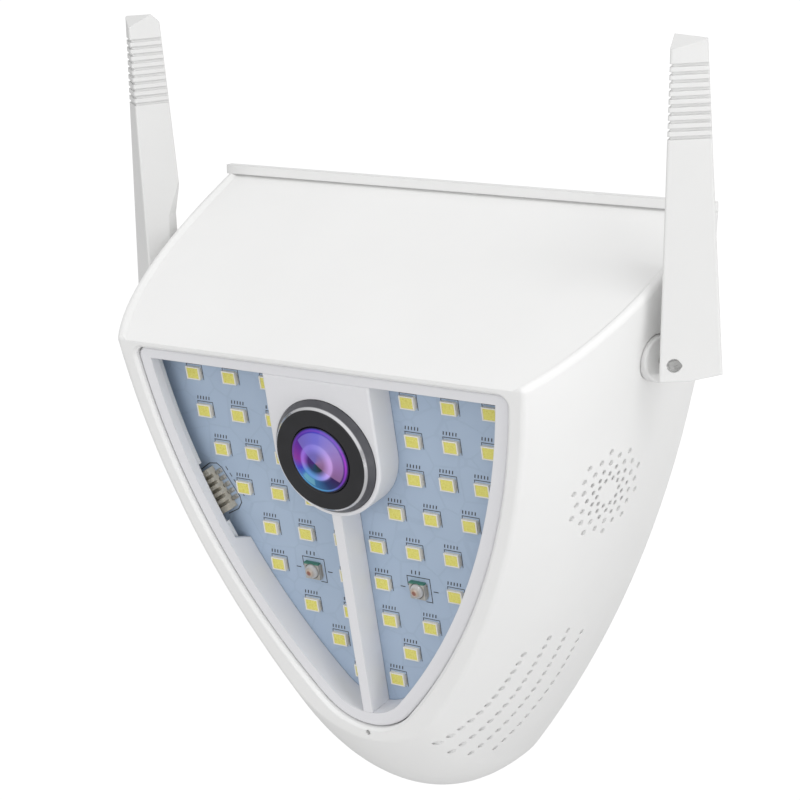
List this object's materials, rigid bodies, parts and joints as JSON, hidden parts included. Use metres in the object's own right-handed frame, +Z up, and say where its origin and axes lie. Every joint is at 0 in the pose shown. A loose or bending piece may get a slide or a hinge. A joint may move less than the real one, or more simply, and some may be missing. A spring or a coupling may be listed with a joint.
{
  "type": "floodlight security camera",
  "caption": "Shield-shaped wall camera with a tilted LED light panel round its lens, a speaker grille and dimples in the flared shell, and a folding antenna on each side.",
  "frame": {"origin": "middle of the four wall-screw holes, on the wall plane", "axes": "+Y into the wall, the front faces -Y, +Z up, +X to the right of a person facing the front"},
  "size_m": [0.1468, 0.0545, 0.1653],
  "materials": {
    "shell_white": "satin",
    "bezel_white": "satin",
    "seal_rubber": "matte",
    "lens_black": "gloss",
    "barrel_black": "matte",
    "lens_glass": "gloss",
    "chip_black": "matte",
    "board_green": "satin",
    "led_board_grey": "satin",
    "led_cream": "matte",
    "phosphor_yellow": "satin",
    "ir_package": "satin",
    "ir_dome": "gloss",
    "header_beige": "matte",
    "plated_steel": "satin",
    "sink_aluminium": "satin",
    "lead_red": "satin",
    "lead_grey": "satin",
    "button_grey": "matte",
    "capacitor_blue": "gloss",
    "terminal_green": "matte",
    "gland_black": "matte",
    "bracket_steel": "satin",
    "antenna_white": "satin",
    "aerial_brass": "satin"
  },
  "bodies": {
    "camera_body": {"housing": "shell_white", "front_bezel": "bezel_white", "bezel_seal": "seal_rubber", "lens_trim_ring": "lens_black", "lens_barrel": "barrel_black", "lens_front_glass": "lens_glass", "lens_rear_cells": "lens_glass", "lens_mount": "barrel_black", "filter_actuator": "barrel_black", "image_sensor": "chip_black", "sensor_board": "board_green", "led_board": "led_board_grey", "led_packages": "led_cream", "led_phosphors": "phosphor_yellow", "ir_leds": "ir_package", "ir_domes": "ir_dome", "board_header": "header_beige", "header_pins": "plated_steel", "heat_sink": "sink_aluminium", "board_screws": "plated_steel", "mount_screws": "plated_steel", "speaker_frame": "plated_steel", "speaker_cone": "chip_black", "speaker_gasket": "seal_rubber", "microphone": "plated_steel", "lamp_plug": "header_beige", "lamp_lead": "lead_red", "coax_right": "lead_grey", "coax_left": "lead_grey", "main_board": "board_green", "main_chips": "chip_black", "radio_module": "board_green", "radio_shield": "plated_steel", "reset_switch": "plated_steel", "power_board": "board_green", "transformer": "chip_black", "capacitors": "capacitor_blue", "terminal_block": "terminal_green", "pcb_screws": "plated_steel", "rear_cover": "shell_white", "rear_seal": "seal_rubber", "rear_screws": "plated_steel", "cable_gland": "gland_black", "gland_nut": "gland_black", "hanger_studs": "plated_steel", "wall_bracket": "bracket_steel", "wall_gasket": "seal_rubber", "antenna_clips": "plated_steel", "antenna_seals": "seal_rubber"},
    "filter_carrier": {"ir_cut_slider": "barrel_black", "ir_cut_panes": "lens_glass"},
    "button": {"reset_button": "button_grey"},
    "swivel_right": {"antenna_base_right": "antenna_white"},
    "antenna_right": {"antenna_blade_right": "antenna_white", "antenna_pin_right": "plated_steel", "antenna_aerial_right": "aerial_brass"},
    "swivel_left": {"antenna_base_left": "antenna_white"},
    "antenna_left": {"antenna_blade_left": "antenna_white", "antenna_pin_left": "plated_steel", "antenna_aerial_left": "aerial_brass"}
  },
  "joints": [
    {"name": "swivel_right", "type": "hinge", "parent": "camera_body", "child": "swivel_right", "pos_m": [0.06655, -0.02394, 0.0327], "axis": [0.9703, -0.2419, 0], "range_deg": [-12, 90]},
    {"name": "fold_right", "type": "hinge", "parent": "swivel_right", "child": "antenna_right", "pos_m": [0.06655, -0.02394, 0.0327], "axis": [0.2419, 0.9703, 0], "range_deg": [0, 90]},
    {"name": "swivel_left", "type": "hinge", "parent": "camera_body", "child": "swivel_left", "pos_m": [-0.06655, -0.02394, 0.0327], "axis": [0.9703, 0.2419, 0], "range_deg": [-12, 90]},
    {"name": "fold_left", "type": "hinge", "parent": "swivel_left", "child": "antenna_left", "pos_m": [-0.06655, -0.02394, 0.0327], "axis": [0.2419, -0.9703, 0], "range_deg": [0, 90]},
    {"name": "reset_press", "type": "slide", "parent": "camera_body", "child": "button", "axis": [0, -1, 0], "range_m": [0, 0.0005], "stiffness_N_per_m": 400},
    {"name": "filter_slide", "type": "slide", "parent": "camera_body", "child": "filter_carrier", "axis": [1, 0, 0], "range_m": [0, 0.007]}
  ]
}
